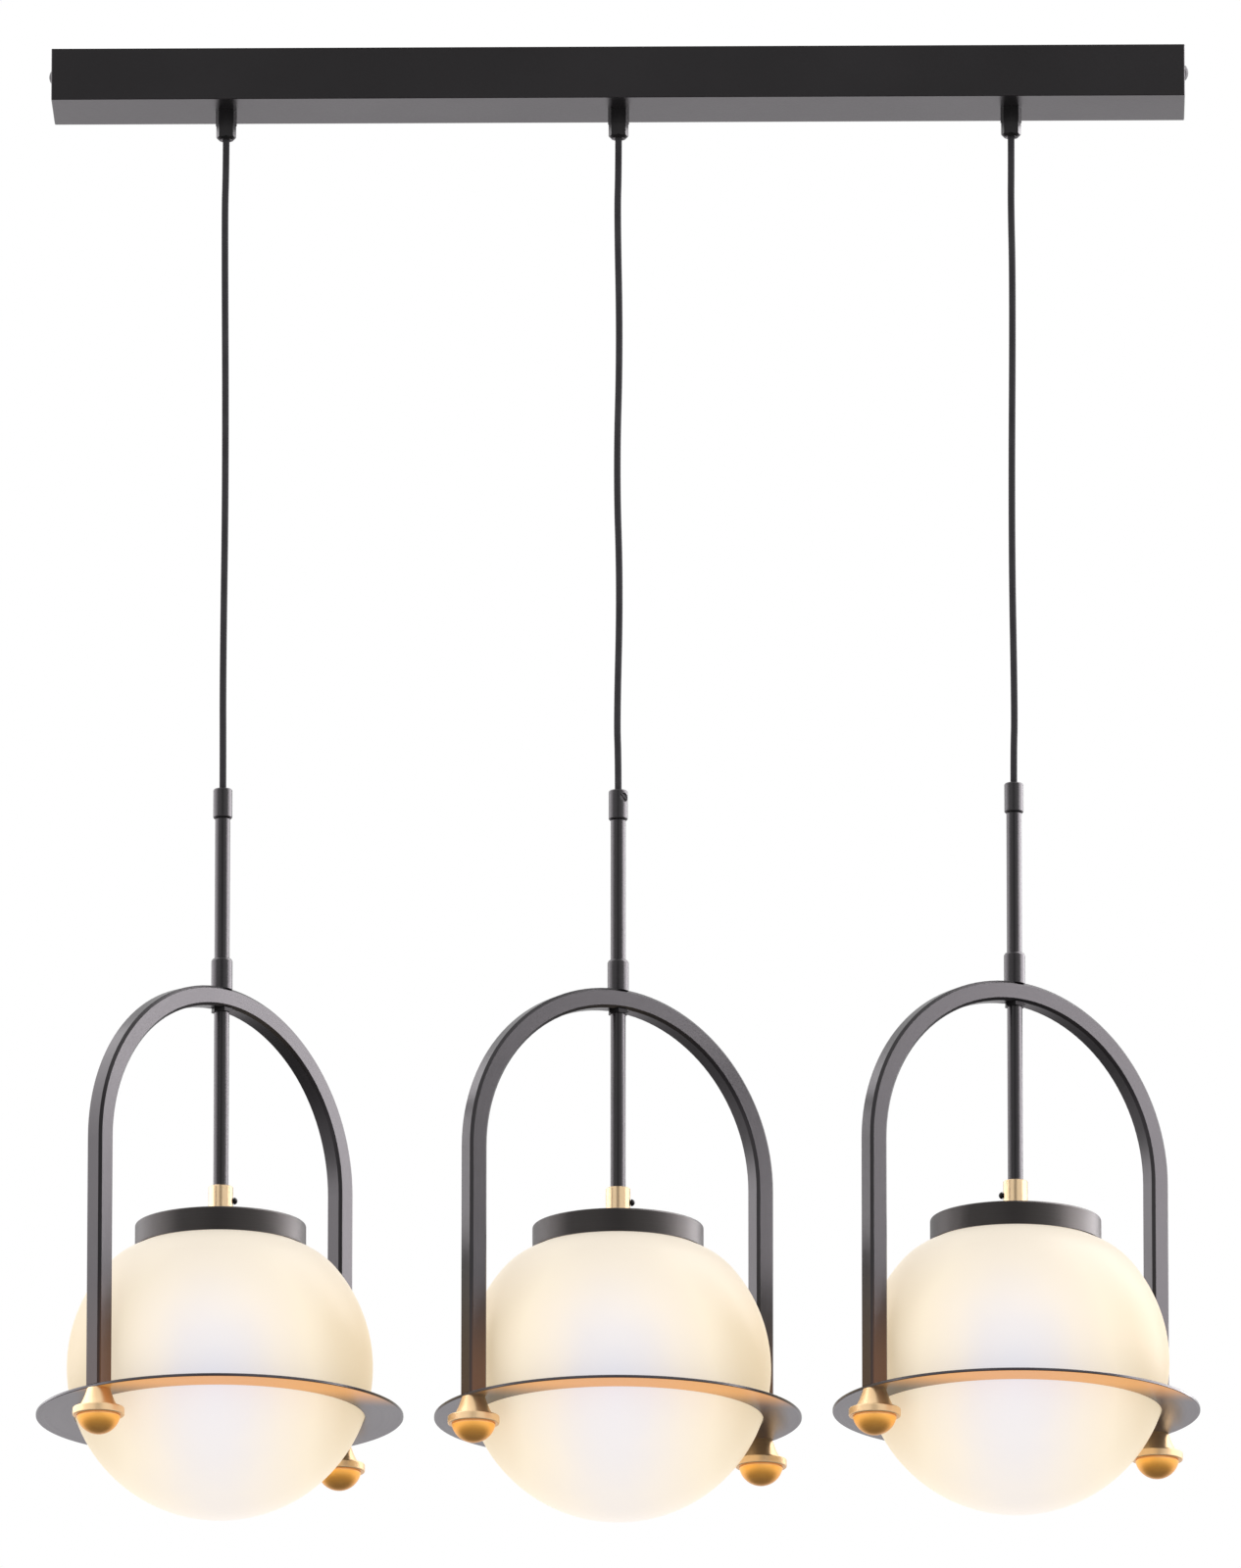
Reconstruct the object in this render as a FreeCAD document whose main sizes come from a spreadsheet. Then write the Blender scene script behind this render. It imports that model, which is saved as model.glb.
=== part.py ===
import FreeCAD, Part
import Sketcher
import math
import os
import re
from FreeCAD import Placement, Rotation, Vector

# Linear island pendant: a ceiling bar with three globe lamps, each hung on a cord.
# Millimetres. The origin is the middle of the bar where it meets the ceiling,
# +Z is up, +X runs along the bar and the front of the bar faces -Y.

# Driving sizes
SIZES = {
    # ceiling bar
    "canopy_end": 115,
    "canopy_width": 60,
    "canopy_height": 35,
    "canopy_wall": 1.5,
    "canopy_edge": 0.8,
    "lamp_gap": 20,
    # mounting plate inside the bar
    "bracket_width": 30,
    "bracket_gauge": 2.5,
    "bracket_tab": 24,
    "bracket_gap": 0.2,
    "ceiling_screw_spacing": 88.9,
    "ceiling_hole_radius": 2.6,
    "supply_hole_radius": 10,
    "supply_hole_place": -130,
    # domed screws that hold the bar on its plate
    "side_screw_radius": 2,
    "side_screw_drop": 11,
    "side_screw_reach": 6,
    "side_head_radius": 5,
    "side_head_edge": 0.6,
    "side_head_dome": 2,
    "side_hole_radius": 2.3,
    "thread_gap": 0.05,
    # cord grips under the bar
    "grip_facets": 8,
    "grip_radius": 7,
    "grip_collar_height": 10,
    "grip_nut_radius": 6.6,
    "grip_nut_height": 10,
    "grip_end_radius": 4.6,
    "grip_bevel": 2.4,
    "grip_thread_radius": 5,
    "grip_thread_length": 8,
    "locknut_radius": 8.5,
    "locknut_height": 3.5,
    # cord and the mouths that let it swing
    "cord_radius": 2.25,
    "cord_gap": 0.3,
    "mouth_depth": 1.5,
    "mouth_flare": 1.1,
    "flare_depth": 2.4,
    "cord_length": 447.3,
    "middle_cord_extra": 2,
    "right_cord_cut": 2,
    # wiring in the bar
    "terminal_length": 36,
    "terminal_width": 26,
    "terminal_height": 18,
    "terminal_place": -80,
    "terminal_pitch": 9,
    "terminal_well_radius": 2,
    "terminal_well_depth": 4,
    "tail_bend": 15,
    "tail_gap": 0.5,
    # grip on top of the stem
    "stem_grip_radius": 6.3,
    "stem_grip_height": 20,
    "stem_grip_round": 1.2,
    "grip_screw_radius": 3,
    "grip_screw_drop": 5.4,
    "grip_screw_slot": 0.8,
    "grip_screw_recess": 1.2,
    "left_screw_angle": 150,
    "middle_screw_angle": 42,
    "right_screw_angle": 200,
    # stem and what clamps the arch on it
    "stem_radius": 5,
    "stem_bore_radius": 2.4,
    "stem_spigot_radius": 4,
    "stem_spigot_length": 9,
    "stem_gap": 0.6,
    "stem_run": 95,
    "coupling_radius": 7,
    "coupling_height": 21,
    "coupling_shoulder": 1.5,
    "coupling_round": 2.5,
    "arch_nut_radius": 7,
    "arch_nut_height": 2.5,
    # arch of square bar
    "arch_bar": 13.2,
    "arch_bevel": 1.8,
    "arch_seat_depth": 0.4,
    "seat_margin": 0.3,
    "leg_length": 166.2,
    # ring under the arch
    "ring_overhang": 20,
    "ring_grip": 5,
    "ring_thickness": 2,
    "leg_inset": 0.2,
    "ring_edge": 0.4,
    # finials under the legs
    "stud_radius": 2.5,
    "stud_length": 12,
    "stud_gap": 0.2,
    "finial_top_radius": 7.6,
    "finial_foot_radius": 13,
    "finial_neck_height": 12.5,
    "finial_flare": 50,
    "flange_radius": 16.9,
    "flange_height": 5.5,
    "flange_round": 1,
    "groove_depth": 0.6,
    "groove_height": 0.5,
    "ball_radius": 14.2,
    "ball_height": 11.6,
    # globe
    "globe_radius": 100,
    "globe_wall": 3,
    "globe_seat_gap": 0.05,
    "shoulder_radius": 50,
    "shoulder_angle": 40,
    "neck_radius": 50,
    "neck_height": 8.5,
    # cap and its brass collar
    "cap_room": 4.5,
    "cap_height": 15.5,
    "cap_wall": 1.5,
    "cap_round": 1.2,
    "cap_gap": 0.4,
    "collar_radius": 8.1,
    "collar_height": 26,
    "collar_edge": 0.5,
    "collar_spigot_radius": 6.5,
    "thumb_drop": 9.5,
    "thumb_shaft_radius": 1.5,
    "thumb_tip_gap": 0.1,
    "thumb_head_gap": 0.3,
    "thumb_head_radius": 2.3,
    "thumb_head_edge": 0.7,
    "thumb_head_dome": 1.9,
    "running_gap": 0.05,
    # lamp holder and bulb
    "socket_radius": 19,
    "socket_height": 44,
    "socket_shoulder": 3,
    "socket_depth": 28,
    "socket_bore_radius": 14,
    "socket_drop": 3.2,
    "stem_seat_depth": 8,
    "bulb_base_radius": 13.2,
    "bulb_base_length": 27,
    "bulb_contact_radius": 6.5,
    "bulb_contact_height": 4.5,
    "bulb_radius": 30,
    "bulb_length": 106,
    "bulb_neck_radius": 14.4,
    "bulb_neck_length": 31,
    "bulb_waist_angle": 35,
    "bulb_waist_arc": 45,
    # how each lamp is turned about its cord
    "left_lamp_angle": 48,
    "middle_lamp_angle": 35,
    "right_lamp_angle": 35.5,
}
# Lengths closer than this count as equal
TOUCHING = 1e-6
SIDES = {"left": -1, "middle": 0, "right": 1}
THUMB_SIDE = {"left": 1, "middle": 1, "right": -1}

doc = FreeCAD.newDocument("linear_island_pendant")
sizes = doc.addObject("Spreadsheet::Sheet", "sizes")
for row, (alias, value) in enumerate(SIZES.items(), start=1):
    sizes.set(f"A{row}", alias.replace("_", " "))
    sizes.set(f"B{row}", str(value))
    sizes.setAlias(f"B{row}", alias)
doc.recompute()


def bind(text):
    """Turn a formula in plain size names into one that reads the sheet."""
    return re.sub(r"[a-z_]+", lambda word: f"sizes.{word[0]}" if word[0] in SIZES else word[0], text)


def number(text):
    return float(sizes.evalExpression(bind(text)))


# Sizes that follow from others, as formulas
RING_RADIUS = "(globe_radius + ring_overhang)"
RING_HOLE = "(globe_radius - ring_grip)"
LEG_RADIUS = f"({RING_RADIUS} - arch_bar / 2 - leg_inset)"
LAMP_SPACING = f"(2 * {RING_RADIUS} + lamp_gap)"
CANOPY_HALF = f"({LAMP_SPACING} + canopy_end)"
CAP_INSIDE = "(neck_radius + cap_room)"
CORD_ROOM = "(cord_radius + cord_gap)"
CORD_LENGTH = {
    "left": "cord_length",
    "middle": "(cord_length + middle_cord_extra)",
    "right": "(cord_length - right_cord_cut)",
}

# Heights from the ceiling
SWING_HEIGHT = "(mouth_depth - canopy_height - grip_collar_height - grip_nut_height)"
TAIL_HEIGHT = "(-bracket_gauge - terminal_height / 2)"

# Heights in a lamp's own frame, whose zero is the lower end of its cord
GRIP_TOP = "mouth_depth"
GRIP_FOOT = f"({GRIP_TOP} - stem_grip_height)"
COUPLING_TOP = f"({GRIP_FOOT} - stem_run)"
ARCH_TOP = f"({COUPLING_TOP} - coupling_height)"
SPRING = f"({ARCH_TOP} + arch_seat_depth - {LEG_RADIUS} - arch_bar / 2)"
RING_TOP = f"({SPRING} - leg_length)"
RING_FOOT = f"({RING_TOP} - ring_thickness)"
ARCH_INSIDE = f"({SPRING} + {LEG_RADIUS} - arch_bar / 2)"
GLOBE_CENTRE = f"({RING_TOP} + globe_seat_gap + sqrt(globe_radius^2 - {RING_HOLE}^2))"

# The globe's shoulder arc, seen from the globe's centre
SHOULDER_X = "((globe_radius - shoulder_radius) * cos(shoulder_angle))"
SHOULDER_Z = "((globe_radius - shoulder_radius) * sin(shoulder_angle))"


def shoulder_height(radius, wall="0"):
    """Height of the globe's shoulder above its centre at a distance from its axis."""
    arc = f"(shoulder_radius - {wall})"
    return f"({SHOULDER_Z} + sqrt({arc}^2 - ({radius} - {SHOULDER_X})^2))"


CAP_FOOT = f"({GLOBE_CENTRE} + {shoulder_height(CAP_INSIDE)} + cap_gap)"
CAP_TOP = f"({CAP_FOOT} + cap_height)"
SOCKET_TOP = f"({CAP_TOP} - socket_drop)"


def place_piece(piece, x="0", y="0", z="0", turn=None):
    """Set a piece down by formulas; turn is its angle about its own upright axis."""
    if turn is not None:
        piece.Placement = Placement(Vector(0, 0, 0), Rotation(Vector(0, 0, 1), 1))
        piece.setExpression("Placement.Rotation.Angle", bind(turn))
    for axis, formula in zip("xyz", (x, y, z)):
        piece.setExpression(f"Placement.Base.{axis}", bind(formula))
    return piece


def lamp_frame(side):
    """Where a lamp's own frame sits: its distance along the bar, its height and its turn."""
    height = f"{SWING_HEIGHT} - {CORD_LENGTH[side]}"
    return {"x": f"{SIDES[side]} * {LAMP_SPACING}", "z": height, "turn": f"{side}_lamp_angle"}


def place_on_lamp(piece, side):
    return place_piece(piece, **lamp_frame(side))


def place_round(piece, side, height="0"):
    """Set a round piece on its lamp's axis at a height in the lamp's own frame."""
    frame = lamp_frame(side)
    return place_piece(piece, x=frame["x"], z=f"{frame['z']} + {height}")


def new_body(label):
    return doc.addObject("PartDesign::Body", label)


def plane_sketch(body, role, height=None):
    """A sketch on one of the body's own origin planes, or parallel to it at a height."""
    sketch = body.newObject("Sketcher::SketchObject", f"{body.Name}_sketch")
    plane = next(feature for feature in body.Origin.OriginFeatures if feature.Role == role)
    sketch.AttachmentSupport = [(plane, "")]
    sketch.MapMode = "FlatFace"
    if height is not None:
        sketch.setExpression("AttachmentOffset.Base.z", bind(height))
    return sketch


def pin_point(sketch, edge, end, x, y):
    """Hold one end of an edge at formula coordinates."""
    for kind, formula, axis in (("DistanceX", x, -2), ("DistanceY", y, -1)):
        if formula == "0":
            sketch.addConstraint(Sketcher.Constraint("PointOnObject", edge, end, axis))
            continue
        index = sketch.addConstraint(Sketcher.Constraint(kind, -1, 1, edge, end, number(formula)))
        sketch.setExpression(f"Constraints[{index}]", bind(formula))


def arc_between(start, end, radius, bend):
    """The shorter arc from start to end; bend is 1 for anticlockwise and -1 for clockwise."""
    middle = (start + end) / 2
    chord = end - start
    rise = math.sqrt(max(radius ** 2 - (chord.Length / 2) ** 2, 0))
    side = Vector(-chord.y, chord.x, 0).normalize() * bend
    centre = middle + side * rise
    return Part.Arc(start, centre - side * radius, end)


def outline(sketch, steps):
    """Draw a closed outline. A step is (x, y), or (x, y, radius, bend) to come to it by an arc."""
    points = [Vector(number(step[0]), number(step[1]), 0) for step in steps]
    for index, step in enumerate(steps):
        start = points[index - 1]
        end = points[index]
        if len(step) == 2:
            sketch.addGeometry(Part.LineSegment(start, end))
        else:
            sketch.addGeometry(arc_between(start, end, number(step[2]), step[3]))
    count = len(steps)
    for index, step in enumerate(steps):
        last = index == count - 1
        # An anticlockwise arc ends at its second point, a clockwise one at its first
        arrive = 1 if len(step) == 4 and step[3] < 0 else 2
        following = steps[0] if last else steps[index + 1]
        leave = 2 if len(following) == 4 and following[3] < 0 else 1
        meet = Sketcher.Constraint("Coincident", index, arrive, (index + 1) % count, leave)
        sketch.addConstraint(meet)
        pin_point(sketch, index, arrive, step[0], step[1])
        if len(step) == 4:
            held = sketch.addConstraint(Sketcher.Constraint("Radius", index, number(step[2])))
            sketch.setExpression(f"Constraints[{held}]", bind(step[2]))


def circles(sketch, places, radius):
    """Equal circles, each given by the formulas of its centre."""
    for x, y in places:
        centre = Vector(number(x), number(y), 0)
        edge = sketch.addGeometry(Part.Circle(centre, Vector(0, 0, 1), number(radius)))
        pin_point(sketch, edge, 3, x, y)
        held = sketch.addConstraint(Sketcher.Constraint("Radius", edge, number(radius)))
        sketch.setExpression(f"Constraints[{held}]", bind(radius))


def pad(body, sketch, length, down=False, both_ways=False):
    feature = body.newObject("PartDesign::Pad", f"{body.Name}_pad")
    feature.Profile = sketch
    feature.setExpression("Length", bind(length))
    feature.Reversed = down
    feature.SideType = "Symmetric" if both_ways else "One side"
    doc.recompute()
    return feature


def pocket(body, sketch, length=None, up=False, both_ways=False):
    """Cut a sketch down through the body, or as deep as length; the body's volume must drop."""
    before = body.Shape.Volume
    feature = body.newObject("PartDesign::Pocket", f"{body.Name}_pocket")
    feature.Profile = sketch
    feature.Reversed = up
    feature.SideType = "Symmetric" if both_ways else "One side"
    if length is None:
        feature.Type = "ThroughAll"
    else:
        feature.setExpression("Length", bind(length))
    doc.recompute()
    if body.Shape.Volume >= before:
        raise ValueError(f"{body.Label}: a pocket cuts nothing")
    return feature


def spin(body, steps):
    """Turn an outline of (distance from the axis, height) steps about the body's Z axis."""
    sketch = plane_sketch(body, "XZ_Plane")
    outline(sketch, steps)
    feature = body.newObject("PartDesign::Revolution", f"{body.Name}_turning")
    feature.Profile = sketch
    feature.ReferenceAxis = (sketch, ["V_Axis"])
    feature.Angle = 360
    doc.recompute()
    return feature


def dome(radius, height):
    """The radius of the ball that a dome of this foot radius and height is cut from."""
    return f"(({radius})^2 + ({height})^2) / (2 * {height})"


def turned(label, steps):
    """A round piece from (distance from the axis, height) steps."""
    body = new_body(label)
    spin(body, steps)
    return body


def soften(body, kind, size, chosen):
    """Fillet or chamfer the edges of the body's last shape that chosen picks."""
    tip = body.Tip
    names = [f"Edge{place}" for place, edge in enumerate(tip.Shape.Edges, start=1) if chosen(edge)]
    feature = body.newObject(f"PartDesign::{kind}", f"{body.Name}_{kind.lower()}")
    feature.Base = (tip, names)
    feature.setExpression("Radius" if kind == "Fillet" else "Size", bind(size))
    doc.recompute()
    return feature


def gather(label, pieces):
    """One node that holds several solids."""
    group = doc.addObject("Part::Compound", label)
    group.Links = pieces
    return group


# Ceiling bar

def mounting_plate():
    """A flat plate with a tab welded under each end, tapped for the side screw."""
    half = f"({CANOPY_HALF} - canopy_wall - bracket_gap)"
    y = "bracket_width / 2"
    plate = new_body("bracket_plate")
    footprint = plane_sketch(plate, "XY_Plane")
    outline(footprint, [(f"-{half}", f"-{y}"), (half, f"-{y}"), (half, y), (f"-{half}", y)])
    pad(plate, footprint, "bracket_gauge", down=True)
    ceiling_holes = plane_sketch(plate, "XY_Plane")
    half_spacing = "ceiling_screw_spacing / 2"
    circles(ceiling_holes, [(f"-{half_spacing}", "0"), (half_spacing, "0")], "ceiling_hole_radius")
    circles(ceiling_holes, [("supply_hole_place", "0")], "supply_hole_radius")
    pocket(plate, ceiling_holes)
    pieces = [plate]
    for name, way in (("left_bracket_tab", -1), ("right_bracket_tab", 1)):
        tab = new_body(name)
        face = plane_sketch(tab, "YZ_Plane")
        outline(face, [(f"-{y}", "-bracket_tab"), (y, "-bracket_tab"),
                       (y, "-bracket_gauge"), (f"-{y}", "-bracket_gauge")])
        pad(tab, face, "bracket_gauge", down=way > 0)
        tapped = plane_sketch(tab, "YZ_Plane")
        circles(tapped, [("0", "-side_screw_drop")], "side_screw_radius + thread_gap")
        pocket(tab, tapped, both_ways=True)
        pieces.append(place_piece(tab, x=f"{way} * {half}"))
    return gather("ceiling_bracket", pieces)


def bar_housing():
    body = new_body("canopy_housing")
    x, y = CANOPY_HALF, "canopy_width / 2"
    footprint = plane_sketch(body, "XY_Plane")
    outline(footprint, [(f"-{x}", f"-{y}"), (x, f"-{y}"), (x, y), (f"-{x}", y)])
    pad(body, footprint, "canopy_height", down=True)
    soften(body, "Fillet", "canopy_edge", lambda edge: edge.BoundBox.ZMin < -TOUCHING)
    x, y = f"({CANOPY_HALF} - canopy_wall)", "(canopy_width / 2 - canopy_wall)"
    hollow = plane_sketch(body, "XY_Plane")
    outline(hollow, [(f"-{x}", f"-{y}"), (x, f"-{y}"), (x, y), (f"-{x}", y)])
    pocket(body, hollow, "canopy_height - canopy_wall")
    grip_holes = plane_sketch(body, "XY_Plane")
    places = [(f"{place} * {LAMP_SPACING}" if place else "0", "0") for place in SIDES.values()]
    circles(grip_holes, places, "grip_thread_radius + thread_gap")
    pocket(body, grip_holes)
    screw_holes = plane_sketch(body, "YZ_Plane")
    circles(screw_holes, [("0", "-side_screw_drop")], "side_hole_radius")
    pocket(body, screw_holes, both_ways=True)
    return body


def side_screws():
    """A domed screw through each end of the bar; heights run outwards from the end face."""
    steps = [
        ("0", "-side_screw_reach"), ("side_screw_radius", "-side_screw_reach"),
        ("side_screw_radius", "0"), ("side_head_radius", "0"), ("side_head_radius", "side_head_edge"),
        ("0", "side_head_edge + side_head_dome", dome("side_head_radius", "side_head_dome"), 1),
    ]
    screws = []
    for name, way in (("left_side_screw", -1), ("right_side_screw", 1)):
        screw = turned(name, steps)
        screw.Placement = Placement(Vector(0, 0, 0), Rotation(Vector(0, 1, 0), 90 * way))
        screws.append(place_piece(screw, x=f"{way} * {CANOPY_HALF}", z="-side_screw_drop"))
    return gather("canopy_side_screws", screws)


def terminal_block():
    body = new_body("terminal_block")
    x, y = "terminal_length / 2", "terminal_width / 2"
    footprint = plane_sketch(body, "XY_Plane")
    outline(footprint, [(f"-{x}", f"-{y}"), (x, f"-{y}"), (x, y), (f"-{x}", y)])
    pad(body, footprint, "terminal_height", down=True)
    wells = plane_sketch(body, "XY_Plane", "-terminal_height")
    rows = ("-terminal_pitch", "0", "terminal_pitch")
    circles(wells, [(x, y) for x in ("-terminal_length / 4", "terminal_length / 4") for y in rows],
            "terminal_well_radius")
    pocket(body, wells, "terminal_well_depth", up=True)
    return place_piece(body, x="terminal_place", z="-bracket_gauge")


def prism(name, radius, height, foot):
    """A bar with grip_facets sides, from its foot up, on the Z axis."""
    piece = doc.addObject("Part::Prism", name)
    piece.setExpression("Polygon", bind("grip_facets"))
    piece.setExpression("Circumradius", bind(radius))
    piece.setExpression("Height", bind(height))
    piece.setExpression("Placement.Base.z", bind(foot))
    return piece


def cord_grip(side):
    """Faceted grip under the bar, threaded through its floor; zero is the bar's underside."""
    total = "(grip_collar_height + grip_nut_height)"
    collar = prism(f"grip_collar_{side}", "grip_radius", "grip_collar_height", "-grip_collar_height")
    nut = prism(f"grip_nut_{side}", "grip_nut_radius", "grip_nut_height", f"-{total}")
    facets = doc.addObject("Part::MultiFuse", f"grip_facets_{side}")
    facets.Shapes = [collar, nut]
    envelope = turned(f"grip_envelope_{side}", [
        ("0", f"-{total}"), ("grip_end_radius", f"-{total}"),
        ("grip_end_radius + grip_bevel", f"grip_bevel - {total}"),
        ("grip_end_radius + grip_bevel", "0"), ("0", "0"),
    ])
    faceted = doc.addObject("Part::Common", f"grip_faceted_{side}")
    faceted.Base = facets
    faceted.Tool = envelope
    thread = turned(f"grip_thread_{side}", [
        ("0", "0"), ("grip_thread_radius", "0"), ("grip_thread_radius", "grip_thread_length"),
        ("0", "grip_thread_length"),
    ])
    threaded = doc.addObject("Part::MultiFuse", f"grip_threaded_{side}")
    threaded.Shapes = [faceted, thread]
    # A flared mouth and a round end for the hanging cord, then a close bore for its held end
    bore = turned(f"grip_bore_{side}", [
        ("0", f"-{total}"), (f"{CORD_ROOM} + mouth_flare", f"-{total}"),
        (CORD_ROOM, f"flare_depth - {total}"), (CORD_ROOM, f"mouth_depth + {CORD_ROOM} - {total}"),
        ("cord_radius", f"mouth_depth + {CORD_ROOM} - {total}"),
        ("cord_radius", "grip_thread_length"), ("0", "grip_thread_length"),
    ])
    grip = doc.addObject("Part::Cut", f"cord_grip_{side}")
    grip.Base = threaded
    grip.Tool = bore
    return place_piece(grip, x=f"{SIDES[side]} * {LAMP_SPACING}", z="-canopy_height")


def hexagon_nut(name, radius, height, hole_radius):
    blank = doc.addObject("Part::Prism", f"{name}_blank")
    blank.Polygon = 6
    blank.setExpression("Circumradius", bind(radius))
    blank.setExpression("Height", bind(height))
    hole = doc.addObject("Part::Cylinder", f"{name}_hole")
    hole.setExpression("Radius", bind(hole_radius))
    hole.setExpression("Height", bind(height))
    nut = doc.addObject("Part::Cut", name)
    nut.Base = blank
    nut.Tool = hole
    return nut


def grip_locknuts():
    """A hexagon nut on each grip's thread, on the bar's floor."""
    nuts = []
    for side, way in SIDES.items():
        nut = hexagon_nut(f"grip_locknut_{side}", "locknut_radius", "locknut_height",
                          "grip_thread_radius + thread_gap")
        nuts.append(place_piece(nut, x=f"{way} * {LAMP_SPACING}", z="canopy_wall - canopy_height"))
    return gather("grip_locknuts", nuts)


def cord_tail(side):
    """The cord's held end: up through its grip, round a bend and along to the terminal block."""
    radius = number("cord_radius")
    bend = number("tail_bend")
    start = Vector(SIDES[side] * number(LAMP_SPACING), 0, number(f"{SWING_HEIGHT} + {CORD_ROOM}"))
    corner = Vector(start.x, 0, number(TAIL_HEIGHT))
    # The left cord comes in at the block's left end, the other two at its right end
    way = 1 if SIDES[side] < 0 else -1
    row = {"left": 0, "middle": 1, "right": -1}[side] * number("terminal_pitch")
    end = Vector(number(f"terminal_place - {way} * (terminal_length / 2 + tail_gap)"), row, corner.z)
    along = (end - corner).normalize()
    low = corner - Vector(0, 0, bend)
    high = corner + along * bend
    middle = corner + (along - Vector(0, 0, 1)) * bend * (1 - math.sqrt(0.5))
    path = Part.Wire([Part.LineSegment(start, low).toShape(), Part.Arc(low, middle, high).toShape(),
                      Part.LineSegment(high, end).toShape()])
    section = Part.Wire(Part.Circle(start, Vector(0, 0, 1), radius).toShape())
    tube = path.makePipeShell([section], True, False)
    expected = math.pi * radius ** 2 * path.Length
    print(f"cord tail {side}: bend radius {bend} mm, volume {tube.Volume:.0f} for {expected:.0f} mm3")
    return tube


def cord_tails():
    piece = doc.addObject("Part::Feature", "cord_tails")
    piece.Shape = Part.makeCompound([cord_tail(side) for side in SIDES])
    return piece


# Lamp

def cord(side):
    """A plumb cord with round ends, each centred where the cord can swing."""
    length = CORD_LENGTH[side]
    body = turned(f"cord_{side}", [
        ("0", "-cord_radius"), ("cord_radius", "0", "cord_radius", 1),
        ("cord_radius", length), ("0", f"{length} + cord_radius", "cord_radius", 1),
    ])
    return place_round(body, side)


def screw_way(side):
    """The level direction that a grip's screw faces, turned from the front."""
    turn = math.radians(number(f"{side}_screw_angle"))
    return Vector(math.sin(turn), -math.cos(turn), 0)


def stem_grip(side):
    blank = turned(f"stem_grip_blank_{side}", [
        (f"{CORD_ROOM} + mouth_flare", GRIP_TOP),
        ("stem_grip_radius - stem_grip_round", GRIP_TOP),
        ("stem_grip_radius", f"{GRIP_TOP} - stem_grip_round", "stem_grip_round", -1),
        ("stem_grip_radius", f"{GRIP_FOOT} + stem_grip_round"),
        ("stem_grip_radius - stem_grip_round", GRIP_FOOT, "stem_grip_round", -1),
        ("stem_spigot_radius + running_gap", GRIP_FOOT),
        ("stem_spigot_radius + running_gap", f"{GRIP_FOOT} + stem_spigot_length + running_gap"),
        (CORD_ROOM, f"{GRIP_FOOT} + stem_spigot_length + running_gap"),
        (CORD_ROOM, f"{GRIP_TOP} - flare_depth"),
    ])
    way = screw_way(side)
    hole = doc.addObject("Part::Cylinder", f"grip_screw_hole_{side}")
    hole.setExpression("Radius", bind("grip_screw_radius + thread_gap"))
    hole.setExpression("Height", bind("stem_grip_radius * 2"))
    hole.Placement = Placement(Vector(0, 0, 0), Rotation(Vector(0, 0, 1), way))
    hole.setExpression("Placement.Base.z", bind(f"{GRIP_TOP} - grip_screw_drop"))
    grip = doc.addObject("Part::Cut", f"stem_grip_{side}")
    grip.Base = blank
    grip.Tool = hole
    return place_round(grip, side)


def stem_grip_screw(side):
    """Slotted set screw, flush with the grip's side and clear of the cord."""
    tip = CORD_ROOM
    face = "(stem_grip_radius - grip_screw_recess)"
    shank = doc.addObject("Part::Cylinder", f"grip_screw_shank_{side}")
    shank.setExpression("Radius", bind("grip_screw_radius"))
    shank.setExpression("Height", bind(f"{face} - {tip}"))
    slot = doc.addObject("Part::Box", f"grip_screw_slot_{side}")
    slot.setExpression("Length", bind("grip_screw_radius * 2"))
    slot.setExpression("Width", bind("grip_screw_slot"))
    slot.setExpression("Height", bind("grip_screw_slot"))
    slot.setExpression("Placement.Base.x", bind("-grip_screw_radius"))
    slot.setExpression("Placement.Base.y", bind("-grip_screw_slot / 2"))
    slot.setExpression("Placement.Base.z", bind(f"{face} - {tip} - grip_screw_slot"))
    screw = doc.addObject("Part::Cut", f"stem_grip_screw_{side}")
    screw.Base = shank
    screw.Tool = slot
    way = screw_way(side)
    screw.Placement = Placement(Vector(0, 0, 0), Rotation(Vector(0, 0, 1), way))
    frame = lamp_frame(side)
    height = f"{frame['z']} + {GRIP_TOP} - grip_screw_drop"
    angle = f"{side}_screw_angle"
    return place_piece(screw, x=f"{frame['x']} + {tip} * sin({angle})", y=f"-{tip} * cos({angle})", z=height)


def stem(side):
    """The tube that carries the lamp, with a spigot that turns in the grip above it."""
    foot = f"({SOCKET_TOP} - stem_seat_depth)"
    shoulder = f"({GRIP_FOOT} - stem_gap)"
    body = turned(f"stem_{side}", [
        ("stem_bore_radius", foot), ("stem_radius", foot), ("stem_radius", shoulder),
        ("stem_spigot_radius", shoulder), ("stem_spigot_radius", f"{GRIP_FOOT} + stem_spigot_length"),
        ("stem_bore_radius", f"{GRIP_FOOT} + stem_spigot_length"),
    ])
    return place_on_lamp(body, side)


def lead(side):
    """The cord's core inside the stem, from the grip down to the lamp holder."""
    body = turned(f"lead_{side}", [
        ("0", f"{SOCKET_TOP} - stem_seat_depth"), ("cord_radius", f"{SOCKET_TOP} - stem_seat_depth"),
        ("cord_radius", f"-{CORD_ROOM}"), ("0", f"-{CORD_ROOM}"),
    ])
    return place_on_lamp(body, side)


def stem_coupling(side):
    hole = "(stem_radius + thread_gap)"
    body = turned(f"stem_coupling_{side}", [
        (hole, ARCH_TOP), ("coupling_radius", ARCH_TOP),
        ("coupling_radius", f"{COUPLING_TOP} - coupling_round"),
        ("coupling_radius - coupling_shoulder", COUPLING_TOP, "coupling_round", 1),
        (hole, COUPLING_TOP),
    ])
    return place_on_lamp(body, side)


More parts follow.
